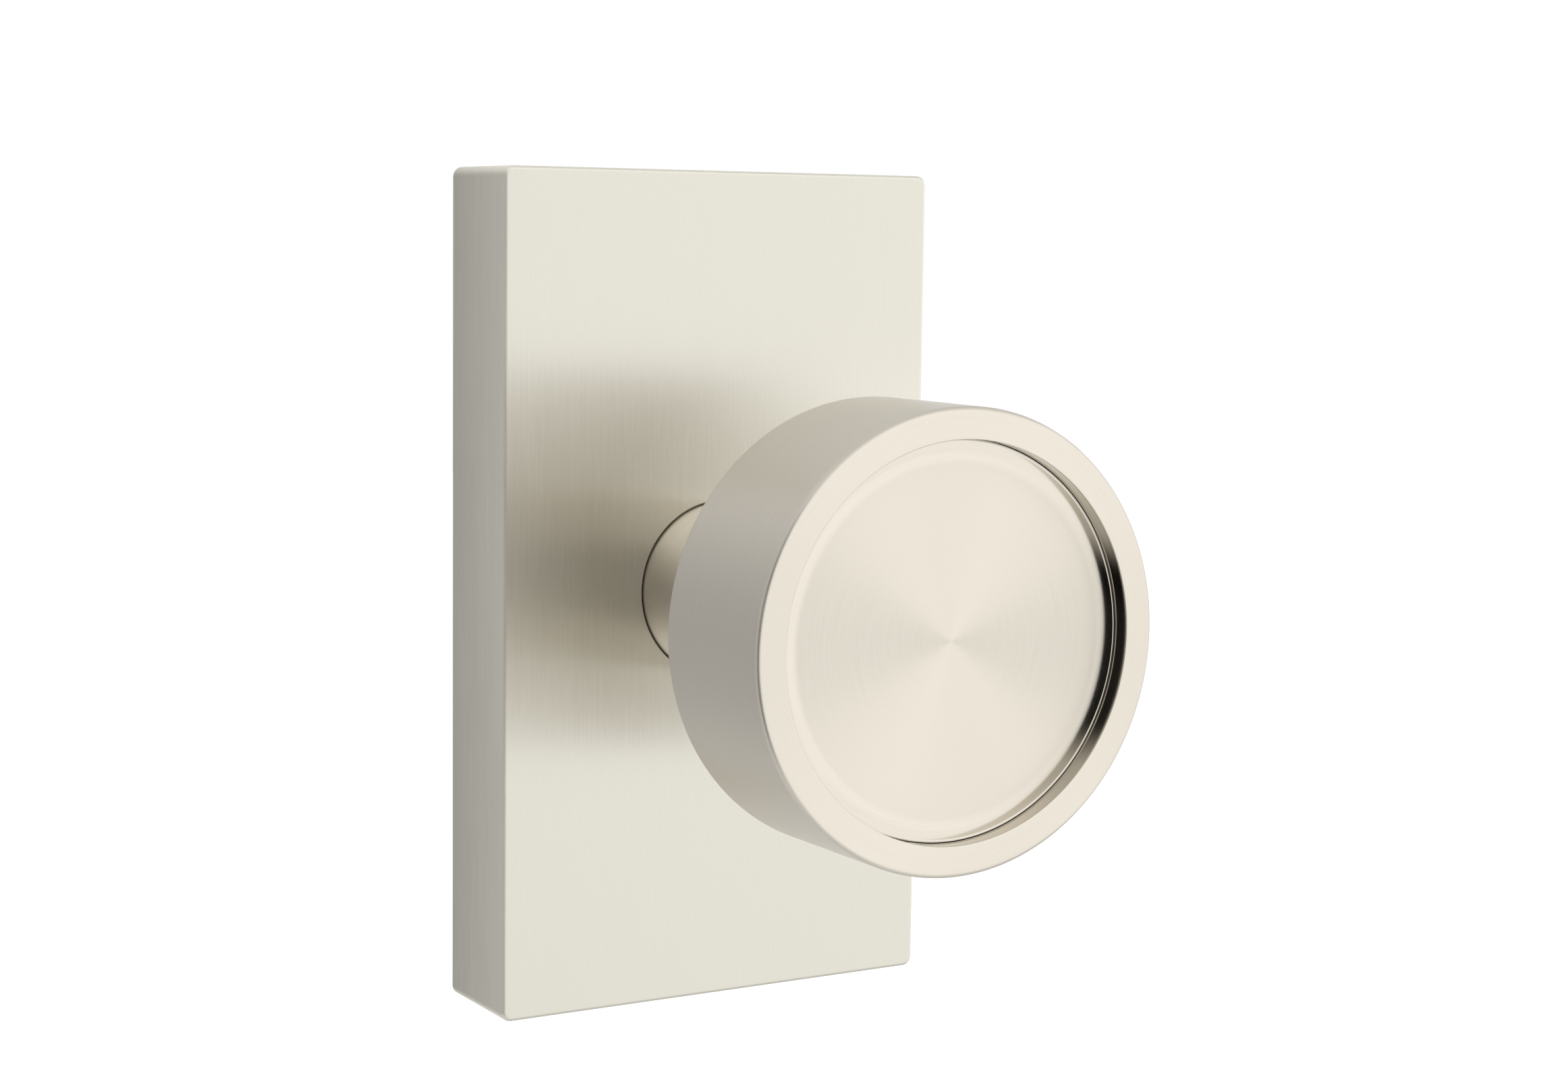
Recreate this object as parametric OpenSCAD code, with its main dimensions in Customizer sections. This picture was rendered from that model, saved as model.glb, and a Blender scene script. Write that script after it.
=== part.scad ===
// Door knob trim for one side of a door: a round knob on a plain neck, turning in a rectangular rosette.
// +Z is up and the door face is the plane Y = 0. The knob's axis is the Y axis and the knob stands
// towards -Y. Sub-parts are drawn with their own z pointing out of the door, then stood up by outward().

/* [Rosette] */
// Width of the rosette cover
rosette_w = 62; // [58:1:70]
// Height of the rosette cover
rosette_h = 108; // [106:1:120]
// How far the rosette cover stands off the door
rosette_t = 15.5; // [15.5:0.1:18]
// Radius of the cover's four upright corners
corner_r = 1.3; // [1:0.1:4]
// Radius of the rounded edge round the cover's face
face_edge_r = 0.5; // [0.3:0.1:0.9]
// Thickness of the cover's side walls
cover_wall = 1.6; // [1.2:0.1:2]
// Thickness of the cover's face
cover_face = 2; // [1.5:0.1:2]

/* [Knob] */
// Diameter of the knob head
head_d = 54; // [50:0.5:60]
// Length of the knob head along its axis
head_len = 20.6; // [20:0.1:26]
// Radius of the head's front and rear edges
head_edge_r = 0.6; // [0.3:0.1:1]
// Diameter of the recess at the head's front rim
lip_d = 46.5; // [45:0.1:48]
// Depth of the recess from the rim to the edge of the face disc
recess_depth = 2.2; // [1.6:0.1:2.6]
// How much deeper the disc's flat middle lies than its edge
dish_depth = 0.1; // [0.05:0.05:0.2]
// Diameter of the neck
neck_d = 22.6; // [22.4:0.1:22.8]
// Length of neck seen between the rosette and the head
neck_len = 35.4; // [30:0.1:45]

/* [Spindle and posts] */
// Side of the square spindle
spindle_side = 8; // [7:0.1:8]
// How far the spindle reaches behind the door face
spindle_reach = 42; // [30:1:60]
// Distance between the two mounting posts
post_spacing = 38; // [36:1:42]
// Diameter of a mounting post
post_d = 8; // [7:0.5:9]
// How far the posts reach behind the door face
post_reach = 28; // [22:1:30]
// Distance between the two wood screw holes
wood_screw_spacing = 64; // [62:1:66]

/* [Motion] */
// How far the knob turns each way before it meets a stop
turn_limit = 60; // [40:1:60]

/* [Hidden] */
$fn = 96;

satin_nickel = [0.78, 0.75, 0.70];
bright_steel = [0.72, 0.73, 0.74];
zinc_plate = [0.66, 0.68, 0.70];
spring_steel = [0.42, 0.42, 0.44];
white_nylon = [0.90, 0.89, 0.84];
grey_foam = [0.30, 0.30, 0.31];

eps = 0.01;
hole_slack = 0.02;      // radial room round a pressed pin or a screw
run_slack = 0.05;       // radial room of a running fit
inner_gap = 0.2;        // room between the cover and what it covers

// Heights above the door face, from the back to the front
pad_t = 0.8;
plate_t = 2.5;
plate_front = pad_t + plate_t;
thrust_t = 0.8;
hub_back = plate_front + thrust_t + run_slack;
hub_disc_t = 1.2;
hub_front = 10.1;
flange_back = hub_front + 0.1;
cage_inside = 11;
cage_front = 12.9;
bush_front = cage_front + 0.4;
cover_inside = rosette_t - cover_face;
head_back = rosette_t + neck_len;
head_front = head_back + head_len;
disc_t = 1.1;
disc_front = head_front - recess_depth;
disc_back = disc_front - disc_t;
tail_end = -4;
socket_front = 20;
spindle_front = 19.4;
spindle_pin_at = 7;

// Cover, plate and the tabs that hold the cover
cavity_w = rosette_w - 2 * cover_wall;
cavity_h = rosette_h - 2 * cover_wall;
plate_w = cavity_w - 2 * inner_gap;
plate_h = cavity_h - 2 * inner_gap;
tab_t = 1.8;
tab_w = 11;
tab_top = 11;
tab_face = cavity_h / 2 - 4.2;
window_far = tab_face - tab_t;
window_near = window_far - (tab_top - plate_front);
lug_out = 1.4;
lug_t = 1.8;
cover_screw_r = 1.5;
cover_screw_height = 8;
wood_screw_r = 2.2;
pad_bore_r = 26;
neck_hole_r = neck_d / 2 + 0.2;
neck_hole_chamfer = 0.15;
thread_r = 2.1;

// Spring cage and the screws that hold it to the plate
cage_r = 25.5;
cage_bore_r = 24;
cage_boss_r = 3.6;
cage_screw_r = 1.5;
cage_screw_head_r = 2.9;
cage_screw_at = [18.5, 22];
cage_screw_tip = 9.3;
bush_r = 13;
bush_flange_r = 14.4;

// Rotating parts inside the cage
hub_r = 13.6;
hub_disc_r = 20.2;
seat_r = 9;
seat_flat = 7;
journal_r = 8;
groove_r = 7.5;
stop_tab_w = 8;
stop_tab_r = 23.4;
stop_gap = 0.35;
pin_r = 1.5;
drive_peg_at = 18.4;
centering_peg_at = 21.8;
stop_pin_at = 22.2;
stop_pin_angle = turn_limit + asin((stop_tab_w / 2 + pin_r + stop_gap) / stop_pin_at);

// Return spring: two turns of wire whose legs straddle both pegs
wire_r = 0.9;
coil_r = 15.7;
coil_turns = 2;
coil_pitch = 1.85;
coil_steps = 60;
coil_back = 6.35;
leg_x = pin_r + wire_r + run_slack;
leg_end = 22.6;
leg_angle = asin(leg_x / coil_r);
coil_sweep = 360 * coil_turns - 2 * leg_angle;
wire_sides = 8;

// Head, its screw and dowels
cavity_r = 21.5;
disc_r = lip_d / 2 - 0.05;
dish_edge_w = 0.05;     // width of the thin flat edge round the dish
cove_run = 0.25;        // how far the cove reaches inwards from that edge
head_wall = 4;
head_boss_r = 11;
boss_front = head_back + head_wall + 4;
spigot_r = 8;
spigot_len = 5;
head_screw_r = 3;
head_screw_len = 22;
screw_bore_depth = 13.5; // how far the head screw's bore reaches into the neck
screw_head_r = 5;
screw_head_len = 6;
hex_across_flats = 5;
lock_washer_t = 1.4;
dowel_r = 1.2;
dowel_at = 9.65;
dowel_back = head_back - 4;
dowel_front = head_back + 4;

// Rear washers and ring
ring_t = 1.2;
wave_t = 0.6;
rear_washer_t = 1;
wave_front = pad_t - run_slack;
rear_washer_front = wave_front - wave_t;
ring_front = rear_washer_front - rear_washer_t;
washer_r = 12;

// Stands a sub-part up: its z becomes -Y, out of the door, and its y becomes +Z, up.
module outward() {
    rotate([90, 0, 0]) children();
}

// Points of an arc about [x, y], from angle a0 to a1
function arc(x, y, r, a0, a1, n = 6) =
    [for (i = [0:n]) [x + r * cos(a0 + (a1 - a0) * i / n), y + r * sin(a0 + (a1 - a0) * i / n)]];

// A straight round bar or disc between two heights
module bar(r, z0, z1) {
    translate([0, 0, z0]) cylinder(r = r, h = z1 - z0);
}

// A flat ring between two heights
module ring(r_in, r_out, z0, z1) {
    difference() {
        bar(r_out, z0, z1);
        bar(r_in, z0 - 1, z1 + 1);
    }
}

// A block centred on x, from y0 to y1 and from z0 to z1
module block(w, y0, y1, z0, z1) {
    translate([-w / 2, y0, z0]) cube([w, y1 - y0, z1 - z0]);
}

// A rectangle with round corners
module round_rect(w, h, r) {
    square([w - 2 * r, h], center = true);
    square([w, h - 2 * r], center = true);
    for (x = [-1, 1], y = [-1, 1]) translate([x * (w / 2 - r), y * (h / 2 - r)]) circle(r);
}

// Puts children at the four corners of a w by h rectangle
module four_corners(w, h) {
    for (x = [-1, 1], y = [-1, 1]) translate([x * w, y * h, 0]) children();
}

// The cover's outer form: straight walls, and a face whose edge is rounded all the way round
module cover_block() {
    edge_back = rosette_t - face_edge_r;
    edge_x = rosette_w / 2 - face_edge_r;
    edge_y = rosette_h / 2 - face_edge_r;
    turn_r = corner_r - face_edge_r;
    linear_extrude(edge_back) round_rect(rosette_w, rosette_h, corner_r);
    linear_extrude(rosette_t) round_rect(2 * edge_x, 2 * edge_y, turn_r);
    for (s = [-1, 1]) {
        translate([s * edge_x, 0, edge_back]) rotate([90, 0, 0])
            cylinder(r = face_edge_r, h = rosette_h - 2 * corner_r, center = true);
        translate([0, s * edge_y, edge_back]) rotate([0, 90, 0])
            cylinder(r = face_edge_r, h = rosette_w - 2 * corner_r, center = true);
    }
    for (i = [0:3])
        translate([(i == 0 || i == 3 ? 1 : -1) * (rosette_w / 2 - corner_r),
                   (i < 2 ? 1 : -1) * (rosette_h / 2 - corner_r), edge_back])
            rotate([0, 0, 90 * i]) rotate_extrude(angle = 90) translate([turn_r, 0]) circle(face_edge_r);
}

// Deep pressed cover that hides the mounting plate and the spring cage
module rosette_cover() {
    hook_front = cover_screw_height - 0.5;
    color(satin_nickel) outward() difference() {
        union() {
            difference() {
                cover_block();
                translate([0, 0, -1]) linear_extrude(cover_inside + 1)
                    square([cavity_w, cavity_h], center = true);
            }
            // boss for the cover screw, and the rib that the plate's top lug hooks over
            block(10, -cavity_h / 2 - 0.5, -tab_face - 0.6, cover_screw_height - 3, cover_screw_height + 3);
            block(12, tab_face + 0.3, cavity_h / 2 + 0.5, hook_front - lug_t, hook_front);
        }
        bar(neck_hole_r, cover_inside - 1, rosette_t + 1);
        translate([0, 0, rosette_t - neck_hole_chamfer])
            cylinder(r1 = neck_hole_r, r2 = neck_hole_r + 2 * neck_hole_chamfer, h = 2 * neck_hole_chamfer);
        translate([0, -rosette_h / 2 - 1, cover_screw_height]) rotate([-90, 0, 0])
            cylinder(r = cover_screw_r + hole_slack, h = 8);
    }
}

// Grub screw in the cover's lower edge, tightened against the plate's lower tab
module cover_screw() {
    length = rosette_h / 2 - 0.6 - tab_face;
    color(bright_steel) outward()
        translate([0, -tab_face, cover_screw_height]) rotate([90, 0, 0]) difference() {
            union() {
                cylinder(r1 = cover_screw_r - 0.5, r2 = cover_screw_r, h = 0.5 + eps);
                translate([0, 0, 0.5]) cylinder(r = cover_screw_r, h = length - 0.5);
            }
            translate([0, 0, length - 2]) cylinder(d = 1.5 / cos(30), h = 3, $fn = 6);
        }
}

// Foam pad between the mounting plate and the door
module backing_pad() {
    color(grey_foam) outward() difference() {
        linear_extrude(pad_t) square([plate_w, plate_h], center = true);
        bar(pad_bore_r, -1, pad_t + 1);
        four_corners(cage_screw_at[0], cage_screw_at[1]) bar(cage_screw_head_r + 1, -1, pad_t + 1);
        for (s = [-1, 1]) {
            near = s * window_near;
            far = s * tab_face;
            translate([0, s * wood_screw_spacing / 2, 0]) bar(wood_screw_r + 1, -1, pad_t + 1);
            block(tab_w, min(near, far), max(near, far), -1, pad_t + 1);
        }
    }
}

// A tab lanced out of the plate, on the side s of the axis (+1 up, -1 down)
module plate_tab(s) {
    block(tab_w, s > 0 ? window_far : -tab_face, s > 0 ? tab_face : -window_far, pad_t, tab_top);
}

// Steel plate that the posts, the spring cage and the cover are fixed to
module mounting_plate() {
    lug_back = cover_screw_height - 0.5 + 0.1;
    color(zinc_plate) outward() difference() {
        union() {
            difference() {
                translate([0, 0, pad_t]) linear_extrude(plate_t) square([plate_w, plate_h], center = true);
                block(tab_w, window_near, window_far, -1, plate_front + 1);
                block(tab_w, -window_far, -window_near, -1, plate_front + 1);
            }
            plate_tab(1);
            plate_tab(-1);
            block(tab_w / 2, tab_face - eps, tab_face + lug_out, lug_back, lug_back + lug_t);
        }
        bar(journal_r + run_slack, -1, plate_front + 1);
        for (s = [-1, 1]) {
            translate([0, s * post_spacing / 2, 0]) bar(post_d / 2 - 1 + hole_slack, -1, plate_front + 1);
            translate([0, s * wood_screw_spacing / 2, 0]) bar(wood_screw_r, -1, plate_front + 1);
            translate([0, s * wood_screw_spacing / 2, plate_front - 1.4])
                cylinder(r1 = wood_screw_r, r2 = wood_screw_r + 1.6, h = 1.6);
        }
        four_corners(cage_screw_at[0], cage_screw_at[1]) {
            bar(cage_screw_r + 0.1, -1, plate_front + 1);
            translate([0, 0, pad_t - 0.1])
                cylinder(r1 = cage_screw_head_r + 0.2, r2 = cage_screw_r + 0.1, h = 1.6);
        }
    }
}

// Two tapped posts riveted into the plate, above and below the latch
module mounting_posts() {
    color(bright_steel) outward() for (s = [-1, 1]) translate([0, s * post_spacing / 2, 0]) difference() {
        union() {
            bar(post_d / 2 - 1, pad_t - eps, plate_front);
            bar(post_d / 2, 1 - post_reach, pad_t);
            translate([0, 0, -post_reach]) cylinder(r1 = post_d / 2 - 0.6, r2 = post_d / 2, h = 1 + eps);
        }
        bar(thread_r, -post_reach - 1, pad_t - 0.3);
    }
}

// Die-cast cup that holds the return spring and the knob's front bearing
module spring_cage() {
    color(zinc_plate) outward() difference() {
        union() {
            bar(cage_r, plate_front, cage_front);
            four_corners(cage_screw_at[0], cage_screw_at[1]) bar(cage_boss_r, plate_front, cage_inside);
        }
        bar(cage_bore_r, plate_front - 1, cage_inside);
        bar(bush_r + hole_slack, cage_inside - 1, cage_front + 1);
        translate([0, centering_peg_at, 0]) bar(pin_r + hole_slack, cage_inside - 1, cage_front + 1);
        for (s = [-1, 1]) rotate([0, 0, s * stop_pin_angle]) translate([0, -stop_pin_at, 0])
            bar(pin_r + hole_slack, cage_inside - 1, cage_front + 1);
        four_corners(cage_screw_at[0], cage_screw_at[1])
            bar(cage_screw_r + hole_slack, plate_front - 1, cage_screw_tip + 0.4);
    }
}

// Four countersunk screws that hold the cage to the plate from behind
module cage_screws() {
    head_len = 1.4;
    color(bright_steel) outward() four_corners(cage_screw_at[0], cage_screw_at[1]) difference() {
        union() {
            translate([0, 0, pad_t]) cylinder(r1 = cage_screw_head_r, r2 = cage_screw_r, h = head_len);
            bar(cage_screw_r, pad_t + head_len - eps, cage_screw_tip);
        }
        for (a = [0, 90]) rotate([0, 0, a]) translate([-1.5, -0.3, pad_t - 1]) cube([3, 0.6, 1.9]);
    }
}

// Flanged nylon bush that the neck turns in
module bearing_bush() {
    color(white_nylon) outward() difference() {
        union() {
            bar(bush_flange_r, flange_back, cage_inside);
            bar(bush_r, flange_back, bush_front);
        }
        bar(neck_d / 2 + run_slack, 0, rosette_t);
    }
}

// Nylon washer that the hub turns on
module thrust_washer() {
    color(white_nylon) outward() ring(journal_r + 0.3, washer_r, plate_front, plate_front + thrust_t);
}

// Fixed peg in the cage, between the spring's legs
module centering_peg() {
    color(bright_steel) outward() translate([0, centering_peg_at, 0]) bar(pin_r, 5.8, cage_front);
}

// Two pins in the cage that the hub's tab stops against
module stop_pins() {
    color(bright_steel) outward() for (s = [-1, 1])
        rotate([0, 0, s * stop_pin_angle]) translate([0, -stop_pin_at, 0])
            bar(pin_r, plate_front + 0.3, cage_front);
}

// Centre line of the spring wire: out along one leg, round the coil, and out along the other leg
function spring_path() = concat(
    [[-leg_x, leg_end, coil_back]],
    [for (i = [0:coil_steps])
        let (a = 90 + leg_angle + coil_sweep * i / coil_steps)
        [coil_r * cos(a), coil_r * sin(a), coil_back + coil_pitch * coil_sweep / 360 * i / coil_steps]],
    [[leg_x, leg_end, coil_back + coil_pitch * coil_sweep / 360]]);

// Radial direction of the wire's cross-section at each point of the path
function spring_side(path, i) =
    i == 0 ? [-1, 0, 0] :
    i == len(path) - 1 ? [1, 0, 0] :
    i == 1 ? unit([path[i][0], path[i][1], 0] + [-coil_r, 0, 0]) :
    i == len(path) - 2 ? unit([path[i][0], path[i][1], 0] + [coil_r, 0, 0]) :
    unit([path[i][0], path[i][1], 0]);
function unit(v) = v / norm(v);

// Torsion spring round the hub that brings the knob back to rest from either side
module return_spring() {
    path = spring_path();
    count = len(path);
    points = [for (i = [0:count - 1], j = [0:wire_sides - 1])
        let (t = 360 * (j + 0.5) / wire_sides)
        path[i] + wire_r * cos(t) * spring_side(path, i) + [0, 0, wire_r * sin(t)]];
    sides = [for (i = [0:count - 2], j = [0:wire_sides - 1])
        let (k = (j + 1) % wire_sides)
        [i * wire_sides + j, i * wire_sides + k, (i + 1) * wire_sides + k, (i + 1) * wire_sides + j]];
    first_end = [for (j = [wire_sides - 1:-1:0]) j];
    last_end = [for (j = [0:wire_sides - 1]) (count - 1) * wire_sides + j];
    color(spring_steel) outward() polyhedron(points, concat([first_end], sides, [last_end]));
}

// Outline of the head in a half plane: x is the radius, y the height
function head_outline() = concat(
    [[spigot_r + hole_slack, head_back]],
    arc(head_d / 2 - head_edge_r, head_back + head_edge_r, head_edge_r, -90, 0),
    arc(head_d / 2 - head_edge_r, head_front - head_edge_r, head_edge_r, 0, 90),
    [[lip_d / 2, head_front],
     [lip_d / 2, disc_back],
     [cavity_r, disc_back],
     [cavity_r, head_back + head_wall],
     [head_boss_r, head_back + head_wall],
     [head_boss_r, boss_front],
     [head_screw_r + 0.2, boss_front],
     [head_screw_r + 0.2, head_back + spigot_len],
     [spigot_r + hole_slack, head_back + spigot_len]]);

// Hollow round head, open in front, where the face disc closes it
module knob_head() {
    color(satin_nickel) outward() difference() {
        rotate_extrude() polygon(head_outline());
        for (s = [-1, 1]) translate([s * dowel_at, 0, 0])
            bar(dowel_r + hole_slack, head_back - 1, dowel_front + 0.1);
    }
}

// Brushed disc pressed into the head's front: flat, with a small cove up to a thin edge
module face_disc() {
    cove_angle = 2 * atan(dish_depth / cove_run);
    cove_r = cove_run / sin(cove_angle);
    flat_r = disc_r - dish_edge_w - cove_run;
    floor_height = disc_front - dish_depth;
    color(satin_nickel) outward() rotate_extrude() polygon(concat(
        [[0, disc_back], [disc_r, disc_back], [disc_r, disc_front]],
        arc(flat_r, floor_height + cove_r, cove_r, cove_angle - 90, -90),
        [[0, floor_height]]));
}

// Socket-head screw that clamps the head to the neck, behind the face disc
module head_screw() {
    seat = boss_front + lock_washer_t;
    color(bright_steel) outward() difference() {
        union() {
            bar(screw_head_r, seat, seat + screw_head_len);
            bar(head_screw_r, seat - head_screw_len, seat + eps);
        }
        translate([0, 0, seat + screw_head_len - 3])
            cylinder(d = hex_across_flats / cos(30), h = 4, $fn = 6);
    }
}

// Split spring washer under the head screw
module lock_washer() {
    color(bright_steel) outward() difference() {
        ring(head_screw_r + 0.1, screw_head_r, boss_front, boss_front + lock_washer_t);
        translate([0, -0.5, boss_front - 1]) cube([screw_head_r + 1, 1, lock_washer_t + 2]);
    }
}

// Two dowels that stop the head from turning on the neck
module head_dowels() {
    color(bright_steel) outward() for (s = [-1, 1])
        translate([s * dowel_at, 0, 0]) bar(dowel_r, dowel_back, dowel_front);
}

// Neck with its tail: bearing, two-flat seat for the hub, rear journal and the groove for the ring
module neck() {
    socket = spindle_side + 2 * run_slack;
    color(satin_nickel) outward() difference() {
        union() {
            bar(neck_d / 2, hub_front, head_back);
            bar(spigot_r, head_back - eps, head_back + spigot_len);
            intersection() {
                bar(seat_r, hub_back, hub_front + eps);
                block(2 * seat_r, -seat_flat, seat_flat, hub_back - 1, hub_front + 1);
            }
            difference() {
                bar(journal_r, tail_end, hub_back + eps);
                ring(groove_r, journal_r + 1, ring_front - ring_t - 0.05, ring_front);
            }
        }
        translate([0, 0, tail_end - 1]) linear_extrude(socket_front + 1 - tail_end)
            square(socket, center = true);
        bar(head_screw_r + hole_slack, head_back - screw_bore_depth, head_back + spigot_len + 1);
        for (s = [-1, 1]) translate([s * dowel_at, 0, 0])
            bar(dowel_r + hole_slack, dowel_back - 0.1, head_back + 1);
        translate([0, 0, spindle_pin_at]) rotate([90, 0, 0])
            cylinder(r = pin_r + hole_slack, h = 4 * seat_r, center = true);
    }
}

// Hub keyed to the neck: its disc carries the drive peg and the stop tab, its barrel carries the coil
module drive_hub() {
    color(zinc_plate) outward() difference() {
        union() {
            bar(hub_disc_r, hub_back, hub_back + hub_disc_t);
            bar(hub_r, hub_back, hub_front);
            intersection() {
                bar(stop_tab_r, hub_back, hub_back + hub_disc_t);
                block(stop_tab_w, -stop_tab_r, -hub_r, 0, rosette_t);
            }
        }
        intersection() {
            bar(seat_r + hole_slack, hub_back - 1, hub_front + 1);
            block(2 * seat_r + 1, -seat_flat - hole_slack, seat_flat + hole_slack, 0, rosette_t);
        }
        translate([0, drive_peg_at, 0]) bar(pin_r + hole_slack, hub_back - 1, hub_back + hub_disc_t + 1);
    }
}

// Peg on the hub that pushes one leg of the spring as the knob turns
module drive_peg() {
    color(bright_steel) outward() translate([0, drive_peg_at, 0]) bar(pin_r, hub_back, cage_inside - 0.4);
}

// Thin washer that takes up the end play behind the plate
module wave_washer() {
    color(spring_steel) outward() ring(journal_r + 0.1, washer_r - 1, rear_washer_front, wave_front);
}

// Plain steel washer in front of the retaining ring
module rear_washer() {
    color(bright_steel) outward() ring(journal_r + 0.1, washer_r, ring_front, rear_washer_front);
}

// Open ring sprung into the neck's groove, with two lugs for the pliers
module retaining_ring() {
    back = ring_front - ring_t;
    lug_angle = 24;
    lug_at = journal_r + 1.3;
    color(spring_steel) outward() difference() {
        union() {
            ring(groove_r + hole_slack, journal_r + 1.6, back, ring_front);
            for (s = [-1, 1]) rotate([0, 0, s * lug_angle]) translate([0, -lug_at - 0.6, 0])
                bar(1.7, back, ring_front);
        }
        bar(groove_r + hole_slack, back - 1, ring_front + 1);
        block(4, -lug_at - 5, 0, back - 1, ring_front + 1);
        for (s = [-1, 1]) rotate([0, 0, s * lug_angle]) translate([0, -lug_at - 0.6, 0])
            bar(0.75, back - 1, ring_front + 1);
    }
}

// A spindle's side view: a bar with both ends bevelled
module spindle_profile(back, front) {
    half = spindle_side / 2;
    bevel = 0.8;
    polygon([[-half, back + bevel], [bevel - half, back], [half - bevel, back], [half, back + bevel],
             [half, front - bevel], [half - bevel, front], [bevel - half, front], [-half, front - bevel]]);
}

// Square spindle that turns the latch
module spindle() {
    color(bright_steel) outward() difference() {
        intersection() {
            across_y() spindle_profile(-spindle_reach, spindle_front);
            across_x() spindle_profile(-spindle_reach, spindle_front);
        }
        translate([0, 0, spindle_pin_at]) rotate([90, 0, 0])
            cylinder(r = pin_r + hole_slack, h = 2 * spindle_side, center = true);
    }
}

// Extrudes a side view along y
module across_y() {
    rotate([90, 0, 0]) linear_extrude(2 * spindle_side, center = true) children();
}

// Extrudes a side view along x
module across_x() {
    rotate([0, 0, 90]) across_y() children();
}

// Cross pin that holds the spindle in the neck, captured by the hub
module spindle_pin() {
    color(spring_steel) outward() translate([0, 0, spindle_pin_at]) rotate([90, 0, 0])
        cylinder(r = pin_r, h = 2 * seat_flat - 0.2, center = true);
}

rosette_cover();
cover_screw();
backing_pad();
mounting_plate();
mounting_posts();
spring_cage();
cage_screws();
bearing_bush();
thrust_washer();
centering_peg();
stop_pins();
return_spring();
knob_head();
face_disc();
head_screw();
lock_washer();
head_dowels();
neck();
drive_hub();
drive_peg();
wave_washer();
rear_washer();
retaining_ring();
spindle();
spindle_pin();
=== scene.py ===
"""Looks of a satin-nickel door knob on a rectangular rosette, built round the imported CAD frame."""

import math

import bmesh
import bpy
from mathutils import Matrix, Vector


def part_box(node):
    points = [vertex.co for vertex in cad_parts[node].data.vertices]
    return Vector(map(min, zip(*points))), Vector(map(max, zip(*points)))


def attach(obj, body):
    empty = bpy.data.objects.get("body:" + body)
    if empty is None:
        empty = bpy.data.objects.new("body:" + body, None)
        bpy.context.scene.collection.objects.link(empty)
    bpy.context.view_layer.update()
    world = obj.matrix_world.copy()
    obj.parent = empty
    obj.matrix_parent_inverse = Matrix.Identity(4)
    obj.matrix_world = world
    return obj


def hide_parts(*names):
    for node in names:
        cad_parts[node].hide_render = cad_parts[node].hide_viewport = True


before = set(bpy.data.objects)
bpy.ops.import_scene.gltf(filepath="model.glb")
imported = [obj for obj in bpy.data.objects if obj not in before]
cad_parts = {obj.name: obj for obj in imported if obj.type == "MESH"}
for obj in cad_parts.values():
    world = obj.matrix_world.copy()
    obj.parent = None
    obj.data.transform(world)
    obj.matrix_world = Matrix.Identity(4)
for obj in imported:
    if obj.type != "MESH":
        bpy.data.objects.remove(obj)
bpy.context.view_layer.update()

MM = 0.001
ROSETTE = "rosette"
KNOB = "knob"


# ---------------------------------------------------------------- sizes, read from the frame

def size_of(name):
    low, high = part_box(name)
    return high - low


def front_of(name):
    """How far a node stands out of the door."""
    return -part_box(name)[0].y


def back_of(name):
    """How far out of the door a node's back lies. It is negative inside the door."""
    return -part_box(name)[1].y


ROSETTE_W = size_of("rosette_cover").x
ROSETTE_H = size_of("rosette_cover").z
ROSETTE_T = front_of("rosette_cover")
HEAD_R = size_of("knob_head").x / 2
HEAD_BACK = back_of("knob_head")
HEAD_FRONT = front_of("knob_head")
DISC_R = size_of("face_disc").x / 2
DISC_BACK = back_of("face_disc")
DISC_FRONT = front_of("face_disc")
NECK_R = size_of("neck").x / 2

# Details that the frame's boxes don't give. They repeat the values of the CAD source.
CORNER_R = 1.3 * MM
FACE_EDGE_R = 0.5 * MM
COVER_WALL = 1.6 * MM
COVER_FACE = 2.0 * MM
NECK_GAP = 0.2 * MM
NECK_CHAMFER = 0.15 * MM
HEAD_EDGE_R = 0.6 * MM
LIP_R = 23.25 * MM
HEAD_CAVITY_R = 21.5 * MM
DISH_EDGE_W = 0.05 * MM
COVE_RUN = 0.25 * MM
DISH_DEPTH = 0.1 * MM


# ---------------------------------------------------------------- mesh helpers

def arc(cx, cy, r, start, end, steps):
    """Points of an arc, angles in degrees."""
    turn = [math.radians(start + (end - start) * i / steps) for i in range(steps + 1)]
    return [(cx + r * math.cos(a), cy + r * math.sin(a)) for a in turn]


def finish_mesh(bm, name, body, material, replaced, sharp=32):
    """Turns a bmesh into a piece that rides on a body and stands for a CAD node."""
    bmesh.ops.remove_doubles(bm, verts=bm.verts, dist=1e-7)
    bmesh.ops.recalc_face_normals(bm, faces=bm.faces)
    mesh = bpy.data.meshes.new(name)
    bm.to_mesh(mesh)
    bm.free()
    mesh.materials.append(material)
    mesh.shade_smooth()
    mesh.set_sharp_from_angle(angle=math.radians(sharp))
    piece = bpy.data.objects.new(name, mesh)
    bpy.context.scene.collection.objects.link(piece)
    normals = piece.modifiers.new("flat_faces_stay_flat", "WEIGHTED_NORMAL")
    normals.keep_sharp = True
    normals.weight = 100
    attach(piece, body)
    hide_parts(replaced)
    return piece


def repaint(piece, material, inner, outer, back, front):
    """Gives a second material to the faces within a range of radii and of distances out of the door."""
    mesh = piece.data
    mesh.materials.append(material)
    index = len(mesh.materials) - 1
    for face in mesh.polygons:
        radius = math.hypot(face.center.x, face.center.z)
        if inner < radius < outer and back < -face.center.y < front:
            face.material_index = index


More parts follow.
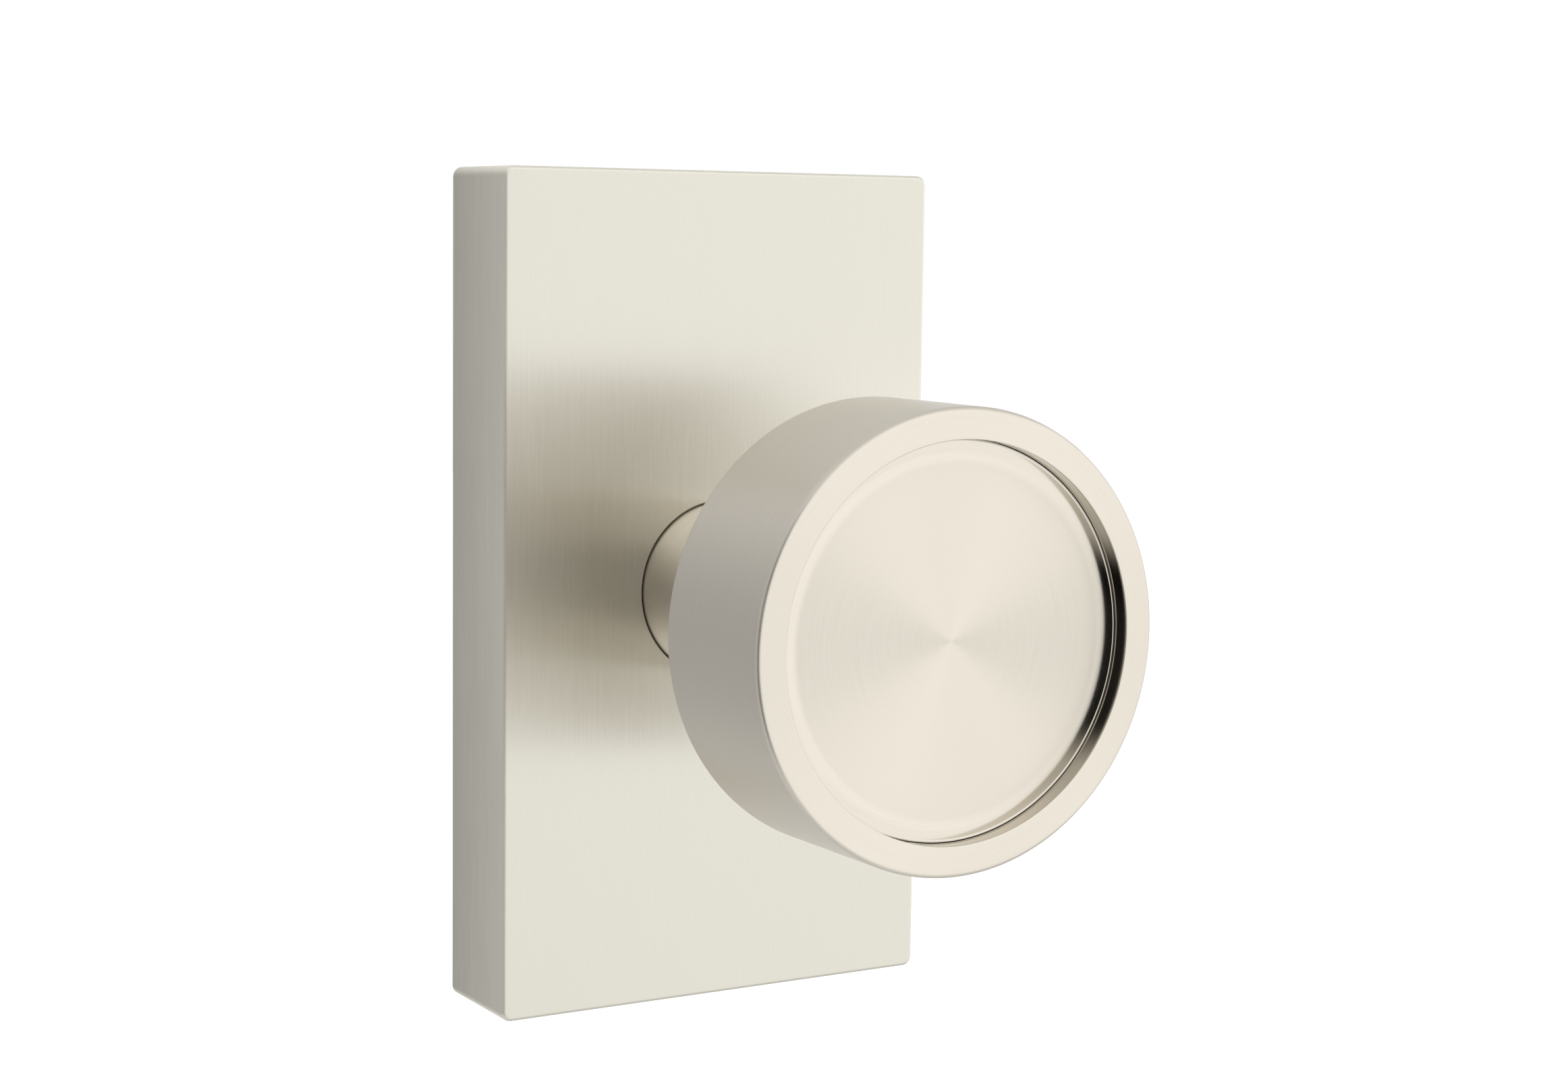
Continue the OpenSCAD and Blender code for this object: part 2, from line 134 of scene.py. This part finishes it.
def lathe(bm, outline, segments=192):
    """Turns an outline of (radius, distance out of the door) points about the knob's axis."""
    rings = []
    for r, out in outline:
        if r < 1e-9:
            rings.append([bm.verts.new((0, -out, 0))])
            continue
        ring = []
        for i in range(segments):
            a = 2 * math.pi * i / segments
            ring.append(bm.verts.new((r * math.cos(a), -out, r * math.sin(a))))
        rings.append(ring)
    for first, second in zip(rings, rings[1:]):
        for i in range(segments):
            j = (i + 1) % segments
            corners = [first[i % len(first)], first[j % len(first)],
                       second[j % len(second)], second[i % len(second)]]
            unique = list(dict.fromkeys(corners))
            if len(unique) > 2:
                bm.faces.new(unique)


# ---------------------------------------------------------------- materials

def node(nt, kind, **values):
    n = nt.nodes.new(kind)
    for key, value in values.items():
        setattr(n, key, value)
    return n


def math_node(nt, operation, a, b=None):
    n = node(nt, "ShaderNodeMath", operation=operation)
    for socket, value in zip(n.inputs, (a, b)):
        if isinstance(value, (int, float)):
            socket.default_value = value
        elif value is not None:
            nt.links.new(value, socket)
    return n.outputs[0]


def new_material(name, metallic=1.0, roughness=0.4, anisotropic=0.0):
    mat = bpy.data.materials.new(name)
    mat.use_nodes = True
    nt = mat.node_tree
    shader = nt.nodes["Principled BSDF"]
    shader.inputs["Metallic"].default_value = metallic
    shader.inputs["Roughness"].default_value = roughness
    shader.inputs["Anisotropic"].default_value = anisotropic
    return mat, nt, shader


def object_position(nt):
    coords = node(nt, "ShaderNodeTexCoord")
    split = node(nt, "ShaderNodeSeparateXYZ")
    nt.links.new(coords.outputs["Object"], split.inputs[0])
    return split.outputs


def noise(nt, x, y, z, scale, detail=2.0, roughness=0.5):
    join = node(nt, "ShaderNodeCombineXYZ")
    for socket, value in zip(join.inputs, (x, y, z)):
        nt.links.new(value, socket)
    tex = node(nt, "ShaderNodeTexNoise", noise_dimensions="3D")
    tex.inputs["Scale"].default_value = scale
    tex.inputs["Detail"].default_value = detail
    tex.inputs["Roughness"].default_value = roughness
    nt.links.new(join.outputs[0], tex.inputs["Vector"])
    return tex.outputs["Fac"]


def spread(nt, value, low, high):
    """Maps a 0.3 to 0.7 noise onto a range."""
    n = node(nt, "ShaderNodeMapRange")
    n.inputs["From Min"].default_value = 0.3
    n.inputs["From Max"].default_value = 0.7
    n.inputs["To Min"].default_value = low
    n.inputs["To Max"].default_value = high
    nt.links.new(value, n.inputs["Value"])
    return n.outputs[0]


def tinted(nt, shader, value, dark, light):
    mix = node(nt, "ShaderNodeMix", data_type="RGBA")
    mix.inputs["A"].default_value = (*dark, 1)
    mix.inputs["B"].default_value = (*light, 1)
    nt.links.new(value, mix.inputs["Factor"])
    nt.links.new(mix.outputs["Result"], shader.inputs["Base Color"])


def scratched(nt, shader, value, depth):
    bump = node(nt, "ShaderNodeBump")
    bump.inputs["Strength"].default_value = 1.0
    bump.inputs["Distance"].default_value = depth
    nt.links.new(value, bump.inputs["Height"])
    nt.links.new(bump.outputs[0], shader.inputs["Normal"])


def painted_shade_ramp(nt, shader, place, start, end, share):
    """Painted shade: the colour gets darker between two places, down to a share of its brightness."""
    colour = shader.inputs["Base Color"].links[0].from_socket
    fade = node(nt, "ShaderNodeMapRange")
    fade.inputs["From Min"].default_value = start
    fade.inputs["From Max"].default_value = end
    fade.inputs["To Min"].default_value = 1.0
    fade.inputs["To Max"].default_value = share
    nt.links.new(place, fade.inputs["Value"])
    scale = node(nt, "ShaderNodeVectorMath", operation="SCALE")
    nt.links.new(colour, scale.inputs[0])
    nt.links.new(fade.outputs[0], scale.inputs["Scale"])
    nt.links.new(scale.outputs[0], shader.inputs["Base Color"])


def brushed_upright():
    """Satin nickel with upright brush lines, for the rosette."""
    mat, nt, shader = new_material("satin_nickel_upright", roughness=0.38, anisotropic=1.0)
    x, y, z = object_position(nt)
    fine_x = math_node(nt, "MULTIPLY", x, 30.0)
    fine_y = math_node(nt, "MULTIPLY", y, 30.0)
    fine = noise(nt, fine_x, fine_y, z, 120.0, 3.0, 0.6)
    broad_x = math_node(nt, "MULTIPLY", x, 12.0)
    broad_y = math_node(nt, "MULTIPLY", y, 12.0)
    broad = noise(nt, broad_x, broad_y, z, 45.0, 2.0, 0.5)
    mixed = math_node(nt, "ADD", math_node(nt, "MULTIPLY", fine, 0.6), math_node(nt, "MULTIPLY", broad, 0.4))
    tinted(nt, shader, spread(nt, mixed, 0.0, 1.0), PLATE_DARK, PLATE_LIGHT)
    # Painted shade: the cover's colour darkens towards the door, to 0.78 of its brightness at the back edge.
    painted_shade_ramp(nt, shader, y, -ROSETTE_T, 0.0, 0.78)
    nt.links.new(spread(nt, mixed, 0.36, 0.40), shader.inputs["Roughness"])
    scratched(nt, shader, fine, 0.000001)
    geometry = node(nt, "ShaderNodeNewGeometry")
    normal = node(nt, "ShaderNodeSeparateXYZ")
    nt.links.new(geometry.outputs["Normal"], normal.inputs[0])
    along = node(nt, "ShaderNodeCombineXYZ")
    along.inputs[2].default_value = 1.0
    nt.links.new(math_node(nt, "ABSOLUTE", normal.outputs[2]), along.inputs[0])
    nt.links.new(along.outputs[0], shader.inputs["Tangent"])
    shader.inputs["Anisotropic Rotation"].default_value = 0.25
    return mat


def turned(name, roughness, anisotropic, dark, light, line_depth, smoother_and_shaded_from=None):
    """Satin nickel with lathe lines round the knob's axis. From a radius outwards it may get smoother, and
    its colour darker as painted shade towards the recess wall.
    """
    mat, nt, shader = new_material(name, roughness=roughness, anisotropic=anisotropic)
    x, y, z = object_position(nt)
    radius = math_node(nt, "SQRT", math_node(nt, "ADD", math_node(nt, "MULTIPLY", x, x),
                                             math_node(nt, "MULTIPLY", z, z)))
    across = math_node(nt, "ADD", math_node(nt, "MULTIPLY", radius, 34.0), x)
    along = math_node(nt, "MULTIPLY", y, 34.0)
    lines = noise(nt, across, along, z, 110.0, 3.0, 0.6)
    tinted(nt, shader, spread(nt, lines, 0.0, 1.0), dark, light)
    grain = spread(nt, lines, roughness - 0.02, roughness + 0.02)
    if smoother_and_shaded_from:
        smoother_and_shaded_to = smoother_and_shaded_from + 1.6 * MM
        # Painted shade: the disc's colour darkens towards the recess wall. The roughness change below is real
        # polish.
        painted_shade_ramp(nt, shader, radius, smoother_and_shaded_from, smoother_and_shaded_to, 0.86)
        smoother = node(nt, "ShaderNodeMapRange")
        smoother.inputs["From Min"].default_value = smoother_and_shaded_from
        smoother.inputs["From Max"].default_value = smoother_and_shaded_to
        smoother.inputs["To Min"].default_value = 1.0
        smoother.inputs["To Max"].default_value = 0.25
        nt.links.new(radius, smoother.inputs["Value"])
        grain = math_node(nt, "MULTIPLY", grain, smoother.outputs[0])
    nt.links.new(grain, shader.inputs["Roughness"])
    scratched(nt, shader, lines, line_depth)
    tangent = node(nt, "ShaderNodeTangent", direction_type="RADIAL", axis="Y")
    nt.links.new(tangent.outputs[0], shader.inputs["Tangent"])
    shader.inputs["Anisotropic Rotation"].default_value = 0.25
    return mat


def plain_metal(name, dark, light, roughness, grain=260.0):
    mat, nt, shader = new_material(name, roughness=roughness)
    x, y, z = object_position(nt)
    specks = noise(nt, x, y, z, grain, 4.0, 0.6)
    tinted(nt, shader, spread(nt, specks, 0.0, 1.0), dark, light)
    nt.links.new(spread(nt, specks, roughness - 0.06, roughness + 0.06), shader.inputs["Roughness"])
    scratched(nt, shader, specks, 0.00001)
    return mat


def soft_material(name, dark, light, roughness, grain, depth):
    mat, nt, shader = new_material(name, metallic=0.0, roughness=roughness)
    x, y, z = object_position(nt)
    specks = noise(nt, x, y, z, grain, 3.0, 0.6)
    tinted(nt, shader, spread(nt, specks, 0.0, 1.0), dark, light)
    nt.links.new(spread(nt, specks, roughness - 0.05, roughness + 0.05), shader.inputs["Roughness"])
    scratched(nt, shader, specks, depth)
    return mat


PLATE_DARK = (0.780, 0.756, 0.672)
PLATE_LIGHT = (0.865, 0.839, 0.744)
# Painted light: a lighter copy of the knob's satin nickel, which brightens the shaded neck and the head's
# back face.
BRIGHTENED_BACK_DARK = (0.820, 0.768, 0.673)
BRIGHTENED_BACK_LIGHT = (0.880, 0.822, 0.723)
DISC_DARK = (0.655, 0.613, 0.538)
DISC_LIGHT = (0.685, 0.641, 0.563)
KNOB_DARK = (0.615, 0.575, 0.505)
KNOB_LIGHT = (0.645, 0.603, 0.530)
SATIN_UPRIGHT = brushed_upright()
SATIN_TURNED = turned("satin_nickel_turned", 0.30, 0.9, KNOB_DARK, KNOB_LIGHT, 0.000001)
# The knob's satin nickel again, painted lighter for the shaded neck and back face.
SATIN_BACK_PAINTED_LIGHTER = turned("satin_nickel_back_painted_lighter", 0.30, 0.9, BRIGHTENED_BACK_DARK, BRIGHTENED_BACK_LIGHT, 0.000001)
SATIN_DISC = turned("satin_nickel_disc", 0.35, 0.96, DISC_DARK, DISC_LIGHT, 0.000001, smoother_and_shaded_from=20.4 * MM)
POLISHED = turned("satin_nickel_polished", 0.07, 0.6, KNOB_DARK, KNOB_LIGHT, 0.0000003)
ZINC_PLATE = plain_metal("zinc_plated_steel", (0.55, 0.57, 0.60), (0.68, 0.70, 0.72), 0.34)
MACHINED = plain_metal("machined_steel", (0.58, 0.58, 0.59), (0.70, 0.70, 0.71), 0.28, 600.0)
DIE_CAST = plain_metal("die_cast_zinc", (0.42, 0.43, 0.44), (0.55, 0.56, 0.57), 0.5, 420.0)
SPRING_STEEL = plain_metal("oiled_spring_steel", (0.10, 0.10, 0.11), (0.19, 0.19, 0.20), 0.36, 500.0)
NYLON = soft_material("natural_nylon", (0.72, 0.70, 0.62), (0.82, 0.80, 0.73), 0.45, 350.0, 0.00001)
FOAM = soft_material("closed_cell_foam", (0.018, 0.018, 0.020), (0.045, 0.045, 0.048), 0.85, 2400.0, 0.00008)


# ---------------------------------------------------------------- pieces

def rosette_outline(half_w, half_h, radius, angles, corner_steps=8):
    """Points of a round-cornered rectangle, one for each angle and for each step of its corners."""
    points = []
    for a in angles:
        dx, dz = math.cos(a), math.sin(a)
        reach = min(half_w / max(abs(dx), 1e-9), half_h / max(abs(dz), 1e-9))
        px, pz = dx * reach, dz * reach
        if abs(px) < half_w - radius or abs(pz) < half_h - radius:
            points.append((px, pz))
    for sx in (-1, 1):
        for sz in (-1, 1):
            cx, cz = sx * (half_w - radius), sz * (half_h - radius)
            points += [(cx + sx * u, cz + sz * v) for u, v in arc(0, 0, radius, 0, 90, corner_steps)]
    return sorted(set(points), key=lambda p: math.atan2(p[1], p[0]))


def rosette_shell():
    """The deep pressed cover: a hollow box with a rounded face edge and a chamfered hole for the neck."""
    bm = bmesh.new()
    angles = [2 * math.pi * i / 144 for i in range(144)]
    base = rosette_outline(ROSETTE_W / 2, ROSETTE_H / 2, CORNER_R, angles)
    directions = [math.atan2(pz, px) for px, pz in base]

    def inset_ring(inset, out):
        """A copy of the outline, moved inwards and set at a distance out of the door."""
        ring = []
        for px, pz in base:
            cx = max(-1.0, min(1.0, px / (ROSETTE_W / 2 - CORNER_R))) * (ROSETTE_W / 2 - CORNER_R)
            cz = max(-1.0, min(1.0, pz / (ROSETTE_H / 2 - CORNER_R))) * (ROSETTE_H / 2 - CORNER_R)
            away = Vector((px - cx, pz - cz))
            share = (away.length - inset) / max(away.length, 1e-9)
            ring.append(bm.verts.new((cx + away.x * share, -out, cz + away.y * share)))
        return ring

    def hole_ring(radius, out):
        return [bm.verts.new((radius * math.cos(a), -out, radius * math.sin(a))) for a in directions]

    hole = NECK_R + NECK_GAP
    rings = [inset_ring(COVER_WALL, 0.0), inset_ring(0.0, 0.0),
             inset_ring(0.0, ROSETTE_T - FACE_EDGE_R - 0.3 * MM)]
    for inset, out in arc(FACE_EDGE_R, ROSETTE_T - FACE_EDGE_R, FACE_EDGE_R, 180, 90, 8):
        rings.append(inset_ring(inset, out))
    rings.append(inset_ring(FACE_EDGE_R + 0.5 * MM, ROSETTE_T))
    rings += [hole_ring(hole + 1.5 * MM, ROSETTE_T), hole_ring(hole + NECK_CHAMFER, ROSETTE_T),
              hole_ring(hole, ROSETTE_T - NECK_CHAMFER), hole_ring(hole, ROSETTE_T - COVER_FACE),
              inset_ring(COVER_WALL + 0.2 * MM, ROSETTE_T - COVER_FACE),
              inset_ring(COVER_WALL, ROSETTE_T - COVER_FACE - 0.2 * MM)]
    rings.append(rings[0])
    count = len(base)
    for first, second in zip(rings, rings[1:]):
        for i in range(count):
            j = (i + 1) % count
            bm.faces.new((first[i], first[j], second[j], second[i]))
    return finish_mesh(bm, "rosette_shell", ROSETTE, SATIN_UPRIGHT, "rosette_cover")


def knob_shell():
    """The hollow head: rounded edges, a flat rim and a shallow recess with a seat for the disc."""
    r = HEAD_EDGE_R
    edge_back = arc(HEAD_R - r, HEAD_BACK + r, r, -90, 0, 8)
    edge_front = arc(HEAD_R - r, HEAD_FRONT - r, r, 0, 90, 8)
    lip = arc(LIP_R + 0.1 * MM, HEAD_FRONT - 0.1 * MM, 0.1 * MM, 90, 180, 4)
    boss_r = 11 * MM
    bore_r = 8.02 * MM
    screw_r = 3.2 * MM
    floor = HEAD_BACK + 4 * MM
    boss_top = HEAD_BACK + 8 * MM
    bore_top = HEAD_BACK + 5 * MM
    outline = ([(bore_r, HEAD_BACK), (HEAD_R - r - 0.6 * MM, HEAD_BACK)] + edge_back
               + [(HEAD_R, HEAD_BACK + r + 0.4 * MM), (HEAD_R, HEAD_FRONT - r - 0.4 * MM)] + edge_front
               + [(HEAD_R - r - 0.3 * MM, HEAD_FRONT), (LIP_R + 0.4 * MM, HEAD_FRONT)] + lip
               + [(LIP_R, HEAD_FRONT - 0.4 * MM), (LIP_R, DISC_FRONT), (LIP_R, DISC_BACK),
                  (HEAD_CAVITY_R, DISC_BACK), (HEAD_CAVITY_R, floor), (boss_r, floor), (boss_r, boss_top),
                  (screw_r, boss_top), (screw_r, bore_top), (bore_r, bore_top), (bore_r, HEAD_BACK)])
    bm = bmesh.new()
    lathe(bm, outline)
    shell = finish_mesh(bm, "knob_shell", KNOB, SATIN_TURNED, "knob_head")
    margin = 0.05 * MM
    repaint(shell, POLISHED, LIP_R - margin, LIP_R + margin, DISC_BACK, HEAD_FRONT)
    # The back face gets the lighter, painted-light copy of the knob's nickel.
    repaint(shell, SATIN_BACK_PAINTED_LIGHTER, 0.0, HEAD_R, HEAD_BACK - margin, HEAD_BACK + margin)
    return shell


def face_plate():
    """The brushed disc that closes the head: flat, with a small cove up to a thin edge."""
    ease = 0.04 * MM
    cove_angle = 2 * math.degrees(math.atan(DISH_DEPTH / COVE_RUN))
    cove_r = COVE_RUN / math.sin(math.radians(cove_angle))
    flat_r = DISC_R - DISH_EDGE_W - COVE_RUN
    floor = DISC_FRONT - DISH_DEPTH
    outline = ([(0, DISC_BACK), (DISC_R - ease, DISC_BACK), (DISC_R, DISC_BACK + ease)]
               + arc(DISC_R - ease, DISC_FRONT - ease, ease, 0, 90, 3)
               + arc(flat_r, floor + cove_r, cove_r, cove_angle - 90, -90, 10)
               + [(flat_r - 0.5 * MM, floor), (0.4 * MM, floor), (0, floor)])
    bm = bmesh.new()
    lathe(bm, outline)
    return finish_mesh(bm, "face_plate", KNOB, SATIN_DISC, "face_disc", sharp=20)


def eased_copy(name, body, material, width):
    """A CAD node's own shape with a small bevel on its sharp edges."""
    sharp_angle = math.radians(40)
    bm = bmesh.new()
    bm.from_mesh(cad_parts[name].data)
    bmesh.ops.remove_doubles(bm, verts=bm.verts, dist=1e-6)
    bmesh.ops.dissolve_limit(bm, angle_limit=math.radians(1), verts=bm.verts, edges=bm.edges)
    edges = [e for e in bm.edges if e.is_manifold and e.calc_face_angle() > sharp_angle]
    bmesh.ops.bevel(bm, geom=edges, offset=width, offset_type="OFFSET", segments=2, profile=0.5,
                    affect="EDGES", clamp_overlap=True)
    return finish_mesh(bm, name + "_piece", body, material, name)


def eased_pieces():
    fine = 0.08 * MM
    small = 0.15 * MM
    for name, body, material, slot, width in (
            ("cover_screw", ROSETTE, MACHINED, "plain_steel", fine),
            ("mounting_plate", ROSETTE, ZINC_PLATE, "zinc_plate", small),
            ("mounting_posts", ROSETTE, MACHINED, "plain_steel", small),
            ("spring_cage", ROSETTE, DIE_CAST, "die_cast", small),
            ("cage_screws", ROSETTE, MACHINED, "plain_steel", fine),
            ("bearing_bush", ROSETTE, NYLON, "nylon", small),
            ("thrust_washer", ROSETTE, NYLON, "nylon", fine),
            ("centering_peg", ROSETTE, MACHINED, "plain_steel", small),
            ("stop_pins", ROSETTE, MACHINED, "plain_steel", small),
            ("head_screw", KNOB, MACHINED, "plain_steel", small),
            ("lock_washer", KNOB, SPRING_STEEL, "spring_steel", fine),
            ("head_dowels", KNOB, MACHINED, "plain_steel", small),
            # The neck gets the lighter, painted-light copy of the knob's nickel.
            ("neck", KNOB, SATIN_BACK_PAINTED_LIGHTER, "satin_knob", small),
            ("drive_hub", KNOB, DIE_CAST, "die_cast", small),
            ("drive_peg", KNOB, MACHINED, "plain_steel", small),
            ("rear_washer", KNOB, MACHINED, "plain_steel", fine),
            ("retaining_ring", KNOB, SPRING_STEEL, "spring_steel", fine),
            ("spindle", KNOB, ZINC_PLATE, "zinc_plate", small),
            ("spindle_pin", KNOB, SPRING_STEEL, "spring_steel", small)):
        eased_copy(name, body, material, width)


def foam_pad():
    """The gasket behind the mounting plate, with softly rounded edges."""
    pad = eased_copy("backing_pad", ROSETTE, FOAM, 0.3 * MM)


def torsion_spring():
    """Two turns of round wire between two legs. The real spring winds up as the knob turns; this one is built
    at rest.
    """
    wire_r = 0.9 * MM
    coil_r = 15.7 * MM
    pitch = 1.85 * MM
    leg_end = 22.6 * MM
    leg_x = 2.45 * MM
    turns = 2
    steps = 160
    sides = 16
    low = back_of("return_spring") + wire_r
    leg_angle = math.asin(leg_x / coil_r)
    sweep = 2 * math.pi * turns - 2 * leg_angle
    rise = pitch * sweep / (2 * math.pi)
    path = [(-leg_x, leg_end, low), (-leg_x, coil_r + 2 * wire_r, low)]
    for i in range(steps + 1):
        a = math.pi / 2 + leg_angle + sweep * i / steps
        path.append((coil_r * math.cos(a), coil_r * math.sin(a), low + rise * i / steps))
    path += [(leg_x, coil_r + 2 * wire_r, low + rise), (leg_x, leg_end, low + rise)]
    bm = bmesh.new()
    rings = []
    for i, (x, z, out) in enumerate(path):
        before = Vector(path[max(i - 1, 0)])
        after = Vector(path[min(i + 1, len(path) - 1)])
        along = (after - before).normalized()
        up = Vector((0, 0, 1))
        side = along.cross(up).normalized()
        lift = side.cross(along)
        ring = []
        for j in range(sides):
            t = 2 * math.pi * j / sides
            p = Vector((x, z, out)) + wire_r * (math.cos(t) * side + math.sin(t) * lift)
            ring.append(bm.verts.new((p.x, -p.z, p.y)))
        rings.append(ring)
    for first, second in zip(rings, rings[1:]):
        for j in range(sides):
            k = (j + 1) % sides
            bm.faces.new((first[j], first[k], second[k], second[j]))
    bm.faces.new(rings[0])
    bm.faces.new(rings[-1])
    return finish_mesh(bm, "torsion_spring", ROSETTE, SPRING_STEEL, "return_spring")


def wavy_washer():
    """A thin ring bent into three waves between its neighbours."""
    inner = 8.1 * MM
    outer = size_of("wave_washer").x / 2
    front = front_of("wave_washer")
    back = back_of("wave_washer")
    thickness = 0.2 * MM
    waves = 3
    segments = 144
    swing = (front - back - thickness) / 2
    bm = bmesh.new()
    rings = []
    for i in range(segments):
        a = 2 * math.pi * i / segments
        middle = (front + back) / 2 + swing * math.cos(waves * a)
        corners = [(inner, middle - thickness / 2), (outer, middle - thickness / 2),
                   (outer, middle + thickness / 2), (inner, middle + thickness / 2)]
        rings.append([bm.verts.new((r * math.cos(a), -out, r * math.sin(a))) for r, out in corners])
    for i in range(segments):
        first, second = rings[i], rings[(i + 1) % segments]
        for j in range(4):
            k = (j + 1) % 4
            bm.faces.new((first[j], first[k], second[k], second[j]))
    return finish_mesh(bm, "wavy_washer", KNOB, SPRING_STEEL, "wave_washer")


# ---------------------------------------------------------------- stage, light and camera

# The light tent's brightness, the softbox's power in watts, and the tent's brighter and darker stretches.
BASE = 0.88
SOFTBOX = 3.3
PATCHES = (
    # azimuth, elevation, upright stretch, full within, gone beyond, change of brightness
    (-35, -3, 2.2, 0.22, 0.46, -0.86),
    (-105, 0, 1.0, 0.3, 1.0, -0.2),
    (-150, -10, 1.0, 0.2, 0.8, -0.22),
    (25, 0, 2.0, 0.25, 0.8, 0.6),
    (5, -42, 1.0, 0.2, 0.8, -0.1),
    (70, -35, 1.0, 0.2, 0.6, -0.2),
)


def direction(azimuth, elevation):
    """Unit vector towards a place round the object. Azimuth 0 is in front of the knob, 90 to its right."""
    a, e = math.radians(azimuth), math.radians(elevation)
    return Vector((math.sin(a) * math.cos(e), -math.cos(a) * math.cos(e), math.sin(e)))


def studio_world():
    """A soft light tent round the object, with brighter and darker stretches of wall."""
    world = bpy.data.worlds.new("light_tent")
    bpy.context.scene.world = world
    world.use_nodes = True
    nt = world.node_tree
    coords = node(nt, "ShaderNodeTexCoord")
    total = BASE
    for azimuth, elevation, upright, inner, outer, change in PATCHES:
        away = node(nt, "ShaderNodeVectorMath", operation="SUBTRACT")
        nt.links.new(coords.outputs["Generated"], away.inputs[0])
        away.inputs[1].default_value = direction(azimuth, elevation)
        scaled = node(nt, "ShaderNodeVectorMath", operation="MULTIPLY")
        nt.links.new(away.outputs[0], scaled.inputs[0])
        scaled.inputs[1].default_value = (1, 1, 1 / upright)
        distance = node(nt, "ShaderNodeVectorMath", operation="LENGTH")
        nt.links.new(scaled.outputs[0], distance.inputs[0])
        patch = node(nt, "ShaderNodeMapRange", interpolation_type="SMOOTHSTEP")
        patch.inputs["From Min"].default_value = inner
        patch.inputs["From Max"].default_value = outer
        patch.inputs["To Min"].default_value = change
        patch.inputs["To Max"].default_value = 0.0
        nt.links.new(distance.outputs["Value"], patch.inputs["Value"])
        total = math_node(nt, "ADD", patch.outputs[0], total)
    total = math_node(nt, "MAXIMUM", total, 0.0)
    back = nt.nodes["Background"]
    back.inputs["Color"].default_value = (1, 1, 1, 1)
    nt.links.new(total, back.inputs["Strength"])
    paper = node(nt, "ShaderNodeBackground")
    paper.inputs["Color"].default_value = (1, 1, 1, 1)
    paper.inputs["Strength"].default_value = 1.0
    rays = node(nt, "ShaderNodeLightPath")
    mix = node(nt, "ShaderNodeMixShader")
    nt.links.new(rays.outputs["Is Camera Ray"], mix.inputs[0])
    nt.links.new(back.outputs[0], mix.inputs[1])
    nt.links.new(paper.outputs[0], mix.inputs[2])
    nt.links.new(mix.outputs[0], nt.nodes["World Output"].inputs["Surface"])


def softbox():
    """A tall softbox to the right of the camera."""
    data = bpy.data.lights.new("softbox", "AREA")
    data.shape = "RECTANGLE"
    data.size = 1.4
    data.size_y = 1.8
    data.energy = SOFTBOX
    lamp = bpy.data.objects.new("softbox", data)
    bpy.context.scene.collection.objects.link(lamp)
    towards = direction(75, 0)
    lamp.location = 1.4 * towards
    lamp.rotation_euler = towards.to_track_quat("Z", "Y").to_euler()
    lamp.visible_camera = False


def pale_floor():
    """A plain white sweep below the object."""
    drop = 0.30
    half = 4.0
    bm = bmesh.new()
    for x, y in ((-half, -half), (half, -half), (half, half), (-half, half)):
        bm.verts.new((x, y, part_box("rosette_cover")[0].z - drop))
    bm.faces.new(bm.verts)
    mesh = bpy.data.meshes.new("floor")
    bm.to_mesh(mesh)
    bm.free()
    mat, nt, shader = new_material("white_paper", metallic=0.0, roughness=0.9)
    shader.inputs["Base Color"].default_value = (0.9, 0.9, 0.9, 1)
    shader.inputs["Emission Color"].default_value = (1, 1, 1, 1)
    shader.inputs["Emission Strength"].default_value = 0.6
    mesh.materials.append(mat)
    floor = bpy.data.objects.new("floor", mesh)
    bpy.context.scene.collection.objects.link(floor)
    floor.visible_glossy = False


def camera():
    data = bpy.data.cameras.new("camera")
    cam = bpy.data.objects.new("camera", data)
    bpy.context.scene.collection.objects.link(cam)
    data.lens = 64.43
    data.sensor_width = 36
    data.clip_start = 0.01
    place = Matrix.Translation((-0.17843, -0.33174, 0.0455))
    turn = (Matrix.Rotation(math.radians(-30.73), 4, "Z") @ Matrix.Rotation(math.radians(-6.05), 4, "X")
            @ Matrix.Rotation(math.radians(-0.77), 4, "Y") @ Matrix.Rotation(math.radians(90), 4, "X"))
    cam.matrix_world = place @ turn
    bpy.context.scene.camera = cam


camera()
studio_world()
softbox()
pale_floor()
bpy.context.scene.view_settings.view_transform = "Standard"

rosette_shell()
knob_shell()
face_plate()
eased_pieces()
foam_pad()
torsion_spring()
wavy_washer()
